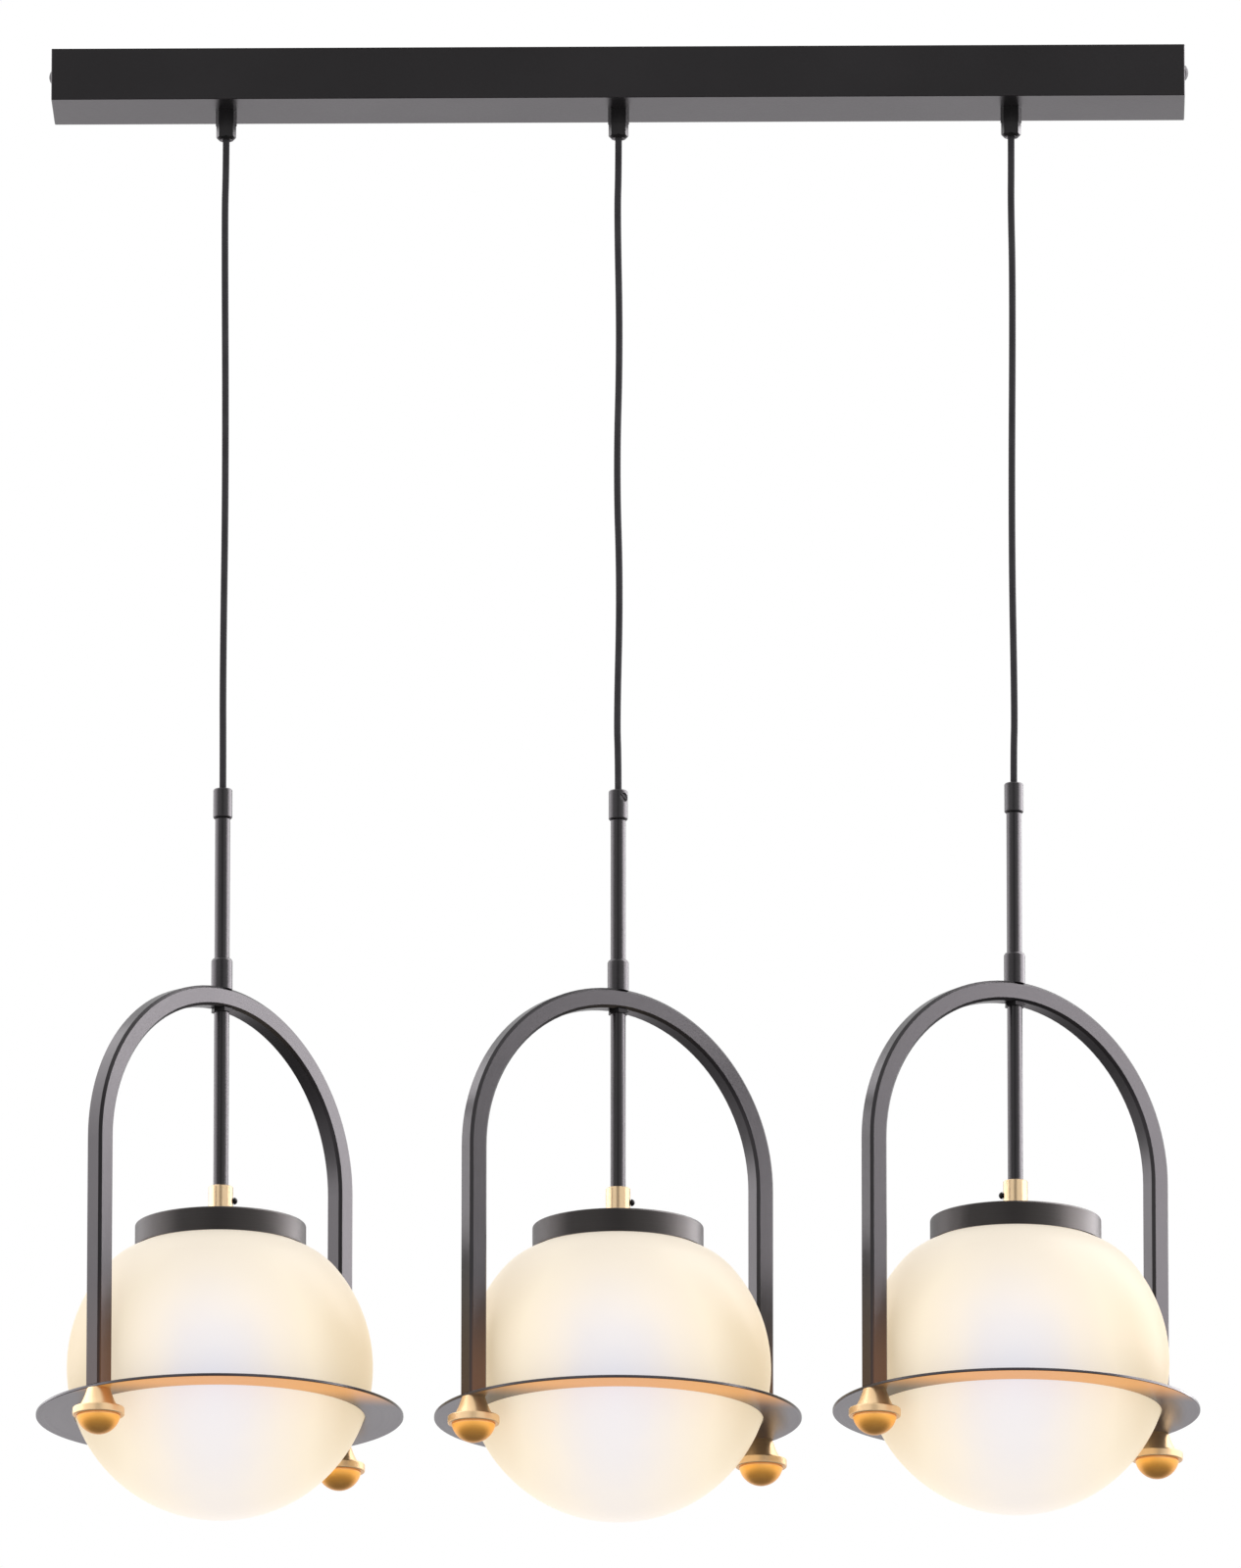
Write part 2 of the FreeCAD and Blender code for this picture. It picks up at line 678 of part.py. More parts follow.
def arch(side):
    """Square bar bent over the globe: a half circle between two straight legs."""
    body = new_body(f"arch_{side}")
    outer = f"({LEG_RADIUS} + arch_bar / 2)"
    inner = f"({LEG_RADIUS} - arch_bar / 2)"
    shape = plane_sketch(body, "XZ_Plane")
    outline(shape, [
        (f"-{outer}", RING_TOP), (f"-{inner}", RING_TOP), (f"-{inner}", SPRING),
        ("0", f"{SPRING} + {inner}", inner, -1), (inner, SPRING, inner, -1),
        (inner, RING_TOP), (outer, RING_TOP), (outer, SPRING),
        ("0", f"{SPRING} + {outer}", outer, 1), (f"-{outer}", SPRING, outer, 1),
    ])
    pad(body, shape, "arch_bar", both_ways=True)
    soften(body, "Chamfer", "arch_bevel", lambda edge: edge.BoundBox.YLength < TOUCHING
           and edge.BoundBox.ZLength > TOUCHING)
    stem_hole = plane_sketch(body, "XY_Plane")
    circles(stem_hole, [("0", "0")], "stem_radius + thread_gap")
    pocket(body, stem_hole)
    # Flats for the coupling above the arch and for the nut below it
    top_seat = plane_sketch(body, "XY_Plane", ARCH_TOP)
    circles(top_seat, [("0", "0")], "coupling_radius + seat_margin")
    pocket(body, top_seat, "arch_bar / 2", up=True)
    low_seat = plane_sketch(body, "XY_Plane", ARCH_INSIDE)
    circles(low_seat, [("0", "0")], "arch_nut_radius + seat_margin")
    pocket(body, low_seat, "arch_bar / 2")
    stud_holes = plane_sketch(body, "XY_Plane", RING_TOP)
    circles(stud_holes, [(f"-{LEG_RADIUS}", "0"), (LEG_RADIUS, "0")], "stud_radius + thread_gap")
    pocket(body, stud_holes, "stud_length + stud_gap", up=True)
    return place_on_lamp(body, side)


def arch_locknut(side):
    nut = hexagon_nut(f"arch_locknut_{side}", "arch_nut_radius", "arch_nut_height",
                      "stem_radius + thread_gap")
    frame = lamp_frame(side)
    frame["z"] = f"{frame['z']} + {ARCH_INSIDE} - arch_nut_height"
    return place_piece(nut, **frame)


def ring(side):
    """Flat ring that carries the globe; its hole is smaller than the globe."""
    body = new_body(f"ring_{side}")
    disc = plane_sketch(body, "XY_Plane", RING_FOOT)
    circles(disc, [("0", "0")], RING_RADIUS)
    circles(disc, [("0", "0")], RING_HOLE)
    pad(body, disc, "ring_thickness")
    reach = number(RING_HOLE)
    soften(body, "Chamfer", "ring_edge", lambda edge: edge.BoundBox.XMax > reach + TOUCHING
           and edge.BoundBox.ZLength < TOUCHING)
    holes = plane_sketch(body, "XY_Plane", RING_TOP)
    circles(holes, [(f"-{LEG_RADIUS}", "0"), (LEG_RADIUS, "0")], "stud_radius + stud_gap")
    pocket(body, holes)
    return place_on_lamp(body, side)


def finial(side, leg, way):
    """Turned nut under one leg: its stud goes up through the ring; zero is the ring's underside."""
    flange_top = "-finial_neck_height"
    flange_foot = f"({flange_top} - flange_height)"
    ball_top = f"({flange_foot} - groove_height)"
    stud_top = "ring_thickness + stud_length"
    body = turned(f"finial_{leg}_{side}", [
        ("0", f"{ball_top} - ball_height"),
        ("ball_radius", ball_top, dome("ball_radius", "ball_height"), 1),
        ("ball_radius - groove_depth", ball_top), ("ball_radius - groove_depth", flange_foot),
        ("flange_radius - flange_round", flange_foot),
        ("flange_radius", f"{flange_foot} + flange_round", "flange_round", 1),
        ("flange_radius", f"{flange_top} - flange_round"),
        ("flange_radius - flange_round", flange_top, "flange_round", 1),
        ("finial_foot_radius", flange_top), ("finial_top_radius", "0", "finial_flare", -1),
        ("stud_radius", "0"), ("stud_radius", stud_top), ("0", stud_top),
    ])
    frame = lamp_frame(side)
    return place_piece(
        body, x=f"{frame['x']} + {way} * {LEG_RADIUS} * cos({frame['turn']})",
        y=f"{way} * {LEG_RADIUS} * sin({frame['turn']})", z=f"{frame['z']} + {RING_FOOT}")


def globe(side):
    """Blown shell: a sphere with a flatter shoulder and a short neck; zero is its centre."""
    core = "(globe_radius - globe_wall)"
    neck_top = f"({shoulder_height('neck_radius')} + neck_height)"
    throat = "(neck_radius - globe_wall)"
    tilt_x, tilt_z = "cos(shoulder_angle)", "sin(shoulder_angle)"
    body = turned(f"globe_{side}", [
        ("0", "-globe_radius"),
        (f"globe_radius * {tilt_x}", f"globe_radius * {tilt_z}", "globe_radius", 1),
        ("neck_radius", shoulder_height("neck_radius"), "shoulder_radius", 1),
        ("neck_radius", neck_top), (throat, neck_top),
        (throat, shoulder_height(throat, "globe_wall")),
        (f"{core} * {tilt_x}", f"{core} * {tilt_z}", "shoulder_radius - globe_wall", -1),
        ("0", f"-{core}", core, -1),
    ])
    return place_round(body, side, GLOBE_CENTRE)


def cap(side):
    """Shallow cup over the globe's neck; zero is its rim."""
    outer = f"({CAP_INSIDE} + cap_wall)"
    body = turned(f"cap_{side}", [
        (CAP_INSIDE, "0"), (outer, "0"), (outer, "cap_height - cap_round"),
        (f"{outer} - cap_round", "cap_height", "cap_round", 1),
        ("collar_spigot_radius", "cap_height"), ("collar_spigot_radius", "cap_height - cap_wall"),
        (CAP_INSIDE, "cap_height - cap_wall"),
    ])
    return place_round(body, side, CAP_FOOT)


def cap_collar(side):
    """Brass collar that slides on the stem and carries the cap; zero is the cap's top."""
    bore = "(stem_radius + running_gap)"
    blank = turned(f"cap_collar_blank_{side}", [
        (bore, "-cap_wall"), ("collar_spigot_radius", "-cap_wall"), ("collar_spigot_radius", "0"),
        ("collar_radius", "0"), ("collar_radius", "collar_height - collar_edge"),
        ("collar_radius - collar_edge", "collar_height"), (bore, "collar_height"),
    ])
    hole = doc.addObject("Part::Cylinder", f"thumb_hole_{side}")
    hole.setExpression("Radius", bind("thumb_shaft_radius + running_gap"))
    hole.setExpression("Height", bind("collar_radius * 2"))
    hole.Placement = Placement(Vector(0, 0, 0), Rotation(Vector(0, 1, 0), 90 * THUMB_SIDE[side]))
    hole.setExpression("Placement.Base.z", bind("collar_height - thumb_drop"))
    piece = doc.addObject("Part::Cut", f"cap_collar_{side}")
    piece.Base = blank
    piece.Tool = hole
    return place_round(piece, side, CAP_TOP)


def thumb_screw(side):
    """Round-headed screw that clamps the collar; heights run outwards from the stem's axis."""
    tip = "stem_radius + running_gap + thumb_tip_gap"
    seat = "collar_radius + thumb_head_gap"
    rim = f"{seat} + thumb_head_edge"
    body = turned(f"thumb_screw_{side}", [
        ("0", tip), ("thumb_shaft_radius", tip), ("thumb_shaft_radius", seat),
        ("thumb_head_radius", seat), ("thumb_head_radius", rim),
        ("0", f"{rim} + thumb_head_dome", dome("thumb_head_radius", "thumb_head_dome"), 1),
    ])
    body.Placement = Placement(Vector(0, 0, 0), Rotation(Vector(0, 1, 0), 90 * THUMB_SIDE[side]))
    return place_round(body, side, f"{CAP_TOP} + collar_height - thumb_drop")


def socket(side):
    """Lamp holder on the stem's lower end; zero is its top."""
    floor = "(socket_depth - socket_height)"
    body = turned(f"socket_{side}", [
        ("socket_bore_radius", "-socket_height"), ("socket_radius", "-socket_height"),
        ("socket_radius", "-socket_shoulder"), ("socket_radius - socket_shoulder", "0"),
        ("stem_radius + thread_gap", "0"), ("stem_radius + thread_gap", "-stem_seat_depth"),
        ("0", "-stem_seat_depth"), ("0", floor), ("socket_bore_radius", floor),
    ])
    return place_round(body, side, SOCKET_TOP)


def bulb(side):
    """Round bulb with a screw base; zero is the base's contact."""
    centre = "(bulb_radius - bulb_length)"
    body = turned(f"bulb_{side}", [
        ("0", "-bulb_length"),
        ("bulb_radius * cos(bulb_waist_angle)",
         f"{centre} + bulb_radius * sin(bulb_waist_angle)", "bulb_radius", 1),
        ("bulb_neck_radius", "-bulb_neck_length", "bulb_waist_arc", -1),
        ("bulb_base_radius", "-bulb_base_length"), ("bulb_base_radius", "-bulb_contact_height"),
        ("bulb_contact_radius", "0"), ("0", "0"),
    ])
    return place_round(body, side, f"{SOCKET_TOP} + socket_depth - socket_height")


# Checks and files

def check_and_write(nodes):
    doc.recompute()
    for item in doc.Objects:
        if "Invalid" in item.State or "Error" in item.State:
            raise ValueError(f"{item.Label}: {item.State}")
    os.makedirs("parts", exist_ok=True)
    for node in nodes:
        if node.Shape.isNull() or not node.Shape.isValid():
            raise ValueError(f"{node.Label}: no valid shape")
        node.Shape.exportStep(f"parts/{node.Label}.step")
    print(f"{len(nodes)} pieces written")


bar_pieces = [mounting_plate(), bar_housing(), side_screws(), terminal_block(), grip_locknuts(),
              cord_tails()]
bar_pieces += [cord_grip(side) for side in SIDES]
lamp_pieces = []
for side in SIDES:
    lamp_pieces += [make(side) for make in (
        cord, stem_grip, stem_grip_screw, stem, lead, stem_coupling, arch, arch_locknut, ring,
        globe, cap, cap_collar, thumb_screw, socket, bulb)]
    lamp_pieces += [finial(side, "near", -1), finial(side, "far", 1)]
check_and_write(bar_pieces + lamp_pieces)
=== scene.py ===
import math

import bpy
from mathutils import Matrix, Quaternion, Vector


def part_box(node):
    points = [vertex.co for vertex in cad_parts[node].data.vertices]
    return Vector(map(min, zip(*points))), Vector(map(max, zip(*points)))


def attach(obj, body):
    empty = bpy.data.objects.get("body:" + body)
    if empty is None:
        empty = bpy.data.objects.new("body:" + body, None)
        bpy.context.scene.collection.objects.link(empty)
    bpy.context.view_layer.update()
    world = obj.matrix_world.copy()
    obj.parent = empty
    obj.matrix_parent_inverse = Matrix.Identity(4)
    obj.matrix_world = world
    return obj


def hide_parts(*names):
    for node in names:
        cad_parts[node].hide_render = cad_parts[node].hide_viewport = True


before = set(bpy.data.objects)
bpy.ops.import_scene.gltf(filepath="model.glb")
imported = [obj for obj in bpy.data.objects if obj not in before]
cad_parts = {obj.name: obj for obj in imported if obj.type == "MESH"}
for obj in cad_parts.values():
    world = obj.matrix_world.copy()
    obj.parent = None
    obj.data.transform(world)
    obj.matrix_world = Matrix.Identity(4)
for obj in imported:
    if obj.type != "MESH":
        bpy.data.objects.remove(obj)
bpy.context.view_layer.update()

# Linear island pendant: three glass globes on rings, hung by cords from a bar.
# Metres. The ceiling is at zero, +Z is up, +X runs along the bar and -Y is the front.

SIDES = {"left": -1, "middle": 0, "right": 1}
LAMP_SPACING = 0.260
LAMP_TURN = {"left": math.radians(48), "middle": math.radians(35), "right": math.radians(35.5)}
ARCH_RADIUS = 0.1198
LEG_LENGTH = 0.1662
GLOBE_RADIUS = 0.100

# Places that the materials follow, the heights read from the pieces themselves
CENTRE_X = {side: place * LAMP_SPACING for side, place in SIDES.items()}
ARCH_SPRING = {side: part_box(f"arch_{side}")[1].z - ARCH_RADIUS for side in SIDES}
RING_TOP = {side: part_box(f"ring_{side}")[1].z for side in SIDES}
GLOBE_CENTRE = {side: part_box(f"globe_{side}")[0].z + GLOBE_RADIUS for side in SIDES}


# Camera

CAMERA_DISTANCE = 14.0
CAMERA_PITCH = math.radians(14.585)
CAMERA_YAW = math.radians(-0.918)
CAMERA_ROLL = math.radians(0.026)
CAMERA_CLIP = (0.1, 200)
AIM_PLACE = 0.0015
AIM_HEIGHT = -0.4966
LENS = 505.1
SENSOR = 36


def place_camera():
    level = Vector((math.sin(CAMERA_YAW), math.cos(CAMERA_YAW), 0))
    look = level * math.cos(CAMERA_PITCH) + Vector((0, 0, math.sin(CAMERA_PITCH)))
    back = look * (CAMERA_DISTANCE / math.cos(CAMERA_PITCH))
    data = bpy.data.cameras.new("camera")
    data.lens = LENS
    data.sensor_width = SENSOR
    data.clip_start, data.clip_end = CAMERA_CLIP
    camera = bpy.data.objects.new("camera", data)
    camera.location = Vector((AIM_PLACE, 0, AIM_HEIGHT)) - back
    camera.rotation_mode = "QUATERNION"
    camera.rotation_quaternion = look.to_track_quat("-Z", "Y") @ Quaternion((0, 0, 1), CAMERA_ROLL)
    bpy.context.scene.collection.objects.link(camera)
    bpy.context.scene.camera = camera


# Shader maths

class Value:
    """A node socket that takes part in Python arithmetic."""

    def __init__(self, board, socket):
        self.board = board
        self.socket = socket

    def maths(self, operation, *others):
        return self.board.node("ShaderNodeMath", {"operation": operation}, [self, *others])

    def __add__(self, other):
        return self.maths("ADD", other)

    def __sub__(self, other):
        return self.maths("SUBTRACT", other)

    def __rsub__(self, other):
        return self.board.node("ShaderNodeMath", {"operation": "SUBTRACT"}, [other, self])

    def __mul__(self, other):
        return self.maths("MULTIPLY", other)

    def __truediv__(self, other):
        return self.maths("DIVIDE", other)

    def __pow__(self, other):
        return self.maths("POWER", other)


class Board:
    """A node tree, with a short call for each kind of node used here."""

    def __init__(self, tree):
        self.tree = tree

    def node(self, kind, settings=None, values=(), output=0):
        """Any node: its settings come first, then the values or links of its sockets."""
        made = self.tree.nodes.new(kind)
        for setting, value in (settings or {}).items():
            setattr(made, setting, value)
        pairs = values.items() if isinstance(values, dict) else enumerate(values)
        for socket, value in pairs:
            self.feed(made.inputs[socket], value)
        return Value(self, made.outputs[output])

    def feed(self, socket, value):
        if isinstance(value, Value):
            self.tree.links.new(value.socket, socket)
        else:
            socket.default_value = value

    def present(self, kind):
        """The node of this kind that the tree began with."""
        return next(node for node in self.tree.nodes if node.type == kind)

    def place(self, centre=(0, 0, 0), turn=0):
        """Object coordinates about a centre, turned about the upright axis."""
        point = self.node("ShaderNodeTexCoord", output="Object")
        moved = self.node("ShaderNodeVectorMath", {"operation": "SUBTRACT"}, [point, centre])
        if not turn:
            return moved
        return self.node("ShaderNodeMapping", {}, {"Vector": moved, "Rotation": (0, 0, -turn)})

    def parts(self, vector):
        split = self.node("ShaderNodeSeparateXYZ", {}, [vector])
        return [Value(self, socket) for socket in split.socket.node.outputs]

    def join(self, x, y, z):
        return self.node("ShaderNodeCombineXYZ", {}, [x, y, z])

    def noise(self, vector, scale, detail=2.0, roughness=0.5):
        """Noise with so many cells to the metre."""
        return self.node("ShaderNodeTexNoise", {}, {
            "Vector": vector, "Scale": scale, "Detail": detail, "Roughness": roughness})

    def ramp(self, factor, stops):
        made = self.node("ShaderNodeValToRGB", {}, [factor])
        elements = made.socket.node.color_ramp.elements
        while len(elements) < len(stops):
            elements.new(1)
        for element, (position, colour) in zip(elements, stops):
            element.position = position
            element.color = rgba(*colour)
        return made

    def shades(self, factor, dark, light, start=0.3, end=0.7):
        """From the dark colour to the light one, as the factor goes from start to end."""
        return self.ramp(factor, [(start, dark), (end, light)])

    def band(self, value, start, end):
        """0 before start and 1 after end, with a smooth rise."""
        settings = {"interpolation_type": "SMOOTHSTEP"}
        return self.node("ShaderNodeMapRange", settings, [value, start, end, 0.0, 1.0])

    def blend(self, factor, first, second):
        values = {0: factor, 6: first, 7: second}
        return self.node("ShaderNodeMix", {"data_type": "RGBA"}, values, output=2)


class Finish(Board):
    """The node tree of one material, with its surface shader and that shader's uniform values."""

    def __init__(self, name, **uniform):
        self.material = bpy.data.materials.new(name)
        self.material.use_nodes = True
        super().__init__(self.material.node_tree)
        self.shader = self.present("BSDF_PRINCIPLED")
        for socket, value in uniform.items():
            self.set(socket.replace("_", " "), value)

    def set(self, socket, value):
        self.feed(self.shader.inputs[socket], value)

    def glow(self, amount, colour):
        """Emission from none to this colour."""
        self.set("Emission Color", self.shades(amount, (0, 0, 0), colour, 0.0, 1.0))

    def bump(self, height, strength, distance):
        self.set("Normal", self.node("ShaderNodeBump", {}, {
            "Strength": strength, "Distance": distance, "Height": height}))

    def show(self, surface):
        """Show this surface in place of the shader's own."""
        self.feed(self.present("OUTPUT_MATERIAL").inputs["Surface"], surface)


def rgba(red, green, blue):
    return (red, green, blue, 1.0)


# Colours, one alone or from dark to light

BAR_BLACK = (0.0095, 0.0088, 0.0095)
GRIP_BLACK = (0.008, 0.0078, 0.008)
SCREW_BLACK = (0.012, 0.0115, 0.012)
STEM_GRIP_BLACK = (0.014, 0.0135, 0.0145)
STEEL_BLACK = ((0.004, 0.0037, 0.0043), (0.013, 0.012, 0.014))
RING_BLACK = ((0.010, 0.008, 0.012), (0.052, 0.044, 0.058))
CORD_BLACK = ((0.040, 0.038, 0.041), (0.058, 0.056, 0.060))
COLLAR_BRASS = ((0.76, 0.55, 0.33), (0.90, 0.68, 0.43))
FINIAL_BRASS = ((0.88, 0.59, 0.32), (1.0, 0.74, 0.44))
# The finials' balls: brass with the globes' warm light painted in as a redder colour
BALL_BRASS_AND_WARM_LIGHT = ((0.90, 0.43, 0.11), (1.0, 0.56, 0.16))
PLATED_STEEL = ((0.46, 0.46, 0.45), (0.62, 0.62, 0.60))
TERMINAL_PLASTIC = ((0.72, 0.70, 0.64), (0.80, 0.78, 0.72))
HOLDER_PLASTIC = ((0.02, 0.02, 0.02), (0.032, 0.032, 0.032))
GLOBE_GLASS = ((0.50, 0.44, 0.34), (0.54, 0.48, 0.38))
BULB_GLASS = ((0.92, 0.92, 0.90), (0.98, 0.98, 0.97))
BULB_LIGHT = ((0.96, 0.95, 1.0), (1.0, 0.98, 0.96))
COOL_GLOSS = rgba(1, 0.955, 0.985)
WARM_GLOSS = rgba(1, 0.92, 0.86)

# The globes' glow: from the bulb outwards as a share of the radius, and at the neck
GLOBE_LIGHT = [
    (0.0, (0.53, 0.55, 0.65)), (0.2, (0.55, 0.545, 0.605)), (0.42, (0.62, 0.565, 0.515)),
    (0.62, (0.635, 0.555, 0.44)), (0.82, (0.53, 0.435, 0.30)), (1.0, (0.48, 0.38, 0.24))]
NECK_LIGHT = rgba(0.50, 0.46, 0.41)
NECK_SHARE = 0.8
NECK_RISE = (GLOBE_RADIUS * 0.1, GLOBE_RADIUS * 0.8)
GLOW_DROP = 0.035
GLOW_FLATNESS = 0.5
GLOW_WANDER = 0.2

# The globes' light on the pieces near them, and the two places between which it rises
LEG_LIGHT = (0.105, 0.040, 0.012)
LEG_LIGHT_HEIGHT = 0.085
LEG_LIGHT_RISE = (LEG_LIGHT_HEIGHT - LEG_LENGTH, -LEG_LENGTH)
LEG_FACE = (0.0056, 0.0066)
LEG_SIDES_SHARE = 0.25
RING_LIGHT = (0.63, 0.26, 0.04)
RING_LIGHT_TURN = math.radians(12)
RING_LIGHT_REACH = (0.048, 0.096)
RING_UNDERSIDE_DROP = (0.0018, 0.0020)
BALL_LIGHT = (0.27, 0.11, 0.005)
BALL_LIGHT_RISE = (-0.0435, -0.0335)
BALL_EDGE = (-0.0315, -0.0335)

# Mottle: broad soft patches, so many to the metre
PAINT_MOTTLE = 9.0
STEEL_MOTTLE = 14.0
BRASS_MOTTLE = 60.0
CORD_MOTTLE = 35.0
GLOBE_MOTTLE = 16.0
BULB_MOTTLE = 40.0
PLATING_MOTTLE = 55.0
MOULD_MOTTLE = 30.0

# Grain: so many to the metre, its pace along or round the piece, and the depth of its bumps
PEEL_GRAIN = 700.0
PEEL_DEPTH = 0.00012
BRUSH_GRAIN = 1800.0
BRUSH_ALONG = 0.02
BRUSH_ROUND = 0.0006
LATHE_GRAIN = 2600.0
METAL_DEPTH = 0.00008
CORD_GRAIN = 2200.0
CORD_ALONG = 0.05
CORD_DEPTH = 0.00005
PLATING_GRAIN = 900.0
MOULD_GRAIN = 1500.0
MOULD_DEPTH = 0.00006

# Roughness: the paints' own, and the others' before the grain adds to it
BAR_ROUGHNESS = 0.30
GRIP_ROUGHNESS = 0.24
SCREW_ROUGHNESS = 0.32
STEM_GRIP_ROUGHNESS = 0.34
LACQUER_ROUGHNESS = 0.20
CAP_ROUGHNESS = 0.32
FINIAL_ROUGHNESS = 0.28
COLLAR_ROUGHNESS = 0.16
CORD_ROUGHNESS = 0.52
GLOBE_ROUGHNESS = 0.36
BULB_ROUGHNESS = 0.3
PLATED_ROUGHNESS = 0.25
MOULDED_ROUGHNESS = 0.4

# The shades of paint as shares of its colour, and how far the mottle and peel move its roughness
PAINT_DARKER = 0.86
PAINT_LIGHTER = 1.16
PAINT_WANDER = (0.08, 0.06)

# The clear coat on the rings
RING_COAT = 0.35
RING_COAT_ROUGHNESS = 0.25


# Finishes

def satin_paint(name, colour, roughness, peel=0.35, specular=0.5):
    """Sprayed satin paint: a faint orange peel and a little wander in gloss and shade."""
    board = Finish(name, Specular_IOR_Level=specular, Specular_Tint=COOL_GLOSS)
    point = board.place()
    broad = board.noise(point, PAINT_MOTTLE, detail=3.0)
    fine = board.noise(point, PEEL_GRAIN)
    darker = [channel * PAINT_DARKER for channel in colour]
    lighter = [channel * PAINT_LIGHTER for channel in colour]
    board.set("Base Color", board.shades(broad, darker, lighter))
    by_mottle, by_peel = PAINT_WANDER
    least = roughness - (by_mottle + by_peel) / 2
    board.set("Roughness", broad * by_mottle + fine * by_peel + least)
    board.bump(fine, peel, PEEL_DEPTH)
    return board.material


def brushed_black(piece, side, brushing):
    """Lacquered black steel with fine brushing that runs along the piece."""
    tint = WARM_GLOSS if piece == "cap" else COOL_GLOSS
    board = Finish(f"{piece}_metal_{side}", Specular_Tint=tint,
                   Emission_Strength=1.0, Emission_Color=rgba(0, 0, 0))
    point = board.place((CENTRE_X[side], 0, ARCH_SPRING[side]), LAMP_TURN[side])
    x, y, z = board.parts(point)
    if brushing == "arched":
        above = z.maths("MAXIMUM", 0.0)
        across = (x * x + above * above) ** 0.5
        along = above.maths("ARCTAN2", x) * ARCH_RADIUS + z.maths("MINIMUM", 0.0)
        grain = board.join(across, y, along * BRUSH_ALONG)
    elif brushing == "round":
        radius = (x * x + y * y) ** 0.5
        grain = board.join(radius, y.maths("ARCTAN2", x) * BRUSH_ROUND, z)
    else:
        grain = board.join(x, y, z * BRUSH_ALONG)
    streaks = board.noise(grain, BRUSH_GRAIN, detail=3.0, roughness=0.6)
    broad = board.noise(point, STEEL_MOTTLE, detail=3.0)
    dark, light = RING_BLACK if piece == "ring" else STEEL_BLACK
    board.set("Base Color", board.shades(streaks * 0.6 + broad * 0.4, dark, light, 0.32, 0.68))
    roughness = CAP_ROUGHNESS if piece == "cap" else LACQUER_ROUGHNESS
    board.set("Roughness", streaks * 0.16 + broad * 0.08 + roughness)
    board.bump(streaks, 0.25, METAL_DEPTH)
    if piece == "arch":
        light_legs(board, y, z)
    if piece == "ring":
        coat_ring(board, side, z)
    return board.material


def light_legs(board, y, z):
    """The globe's light on the legs' lower ends, strongest on the arch's two flat faces."""
    low = board.band(z, *LEG_LIGHT_RISE)
    face = board.band(y.maths("ABSOLUTE"), *LEG_FACE)
    board.glow(low * (face * (1 - LEG_SIDES_SHARE) + LEG_SIDES_SHARE), LEG_LIGHT)


def coat_ring(board, side, z):
    """A painted glow of the globe's light on the front of the ring's underside, and clear coat
    everywhere else.
    """
    aside, behind, _ = board.parts(board.place((CENTRE_X[side], 0, 0)))
    towards = aside * math.sin(RING_LIGHT_TURN) - behind * math.cos(RING_LIGHT_TURN)
    front = board.band(towards, *RING_LIGHT_REACH)
    top = RING_TOP[side] - ARCH_SPRING[side]
    under = board.band(z, *[top - drop for drop in RING_UNDERSIDE_DROP])
    painted_glow = front * under
    board.set("Coat Weight", (1 - painted_glow) * RING_COAT)
    board.set("Coat Roughness", RING_COAT_ROUGHNESS)
    board.glow(painted_glow, RING_LIGHT)


def turned_brass(name, centre, colours, roughness):
    """Satin brass off the lathe: fine rings about its axis; a finial's ball is redder and glows,
    painted warm light from the globe.
    """
    board = Finish(name, Metallic=0.85, Specular_IOR_Level=0.2, Emission_Strength=1.0)
    point = board.place(centre)
    x, y, z = board.parts(point)
    radius = (x * x + y * y) ** 0.5
    rings = board.noise(board.join(radius, 0.0, z), LATHE_GRAIN, detail=3.0, roughness=0.6)
    broad = board.noise(point, BRASS_MOTTLE, detail=3.0)
    shade = rings * 0.5 + broad * 0.5
    ball = board.band(z, *BALL_EDGE)
    plain = board.shades(shade, *colours)
    brass_and_warm_light = board.shades(shade, *BALL_BRASS_AND_WARM_LIGHT)
    board.set("Base Color", board.blend(ball, plain, brass_and_warm_light))
    board.glow(ball * board.band(z, *BALL_LIGHT_RISE), BALL_LIGHT)
    board.set("Roughness", rings * 0.12 + broad * 0.08 + roughness)
    board.bump(rings, 0.3, METAL_DEPTH)
    return board.material


def cord_sheath(name):
    """Round black sheath, nearly matt, with faint marks along it."""
    board = Finish(name, Specular_IOR_Level=0.04)
    point = board.place()
    x, y, z = board.parts(point)
    lines = board.noise(board.join(x, y, z * CORD_ALONG), CORD_GRAIN)
    broad = board.noise(point, CORD_MOTTLE, detail=3.0)
    board.set("Base Color", board.shades(broad, *CORD_BLACK))
    board.set("Roughness", broad * 0.15 + CORD_ROUGHNESS)
    board.bump(lines, 0.1, CORD_DEPTH)
    return board.material


def opal_glass(name, side):
    """Opal glass lit from inside: a tall white glow before the bulb, warmer towards the sides."""
    board = Finish(name, Specular_IOR_Level=0.06, Emission_Strength=1.0)
    point = board.place((CENTRE_X[side], 0, GLOBE_CENTRE[side]))
    x, _, z = board.parts(point)
    cloud = board.noise(point, GLOBE_MOTTLE, detail=3.0)
    height = (z + GLOW_DROP) * GLOW_FLATNESS
    outwards = ((x * x + height * height) ** 0.5) / GLOBE_RADIUS
    glow = board.ramp(outwards + cloud * GLOW_WANDER - GLOW_WANDER / 2, GLOBE_LIGHT)
    neck = board.band(z, *NECK_RISE)
    board.set("Base Color", board.shades(cloud, *GLOBE_GLASS))
    board.set("Emission Color", board.blend(neck * NECK_SHARE, glow, NECK_LIGHT))
    board.set("Roughness", cloud * 0.06 + GLOBE_ROUGHNESS)
    return board.material


def frosted_bulb(name):
    board = Finish(name, Emission_Strength=3.0)
    cloud = board.noise(board.place(), BULB_MOTTLE)
    board.set("Base Color", board.shades(cloud, *BULB_GLASS))
    board.set("Emission Color", board.shades(cloud, *BULB_LIGHT))
    board.set("Roughness", cloud * 0.1 + BULB_ROUGHNESS)
    return board.material


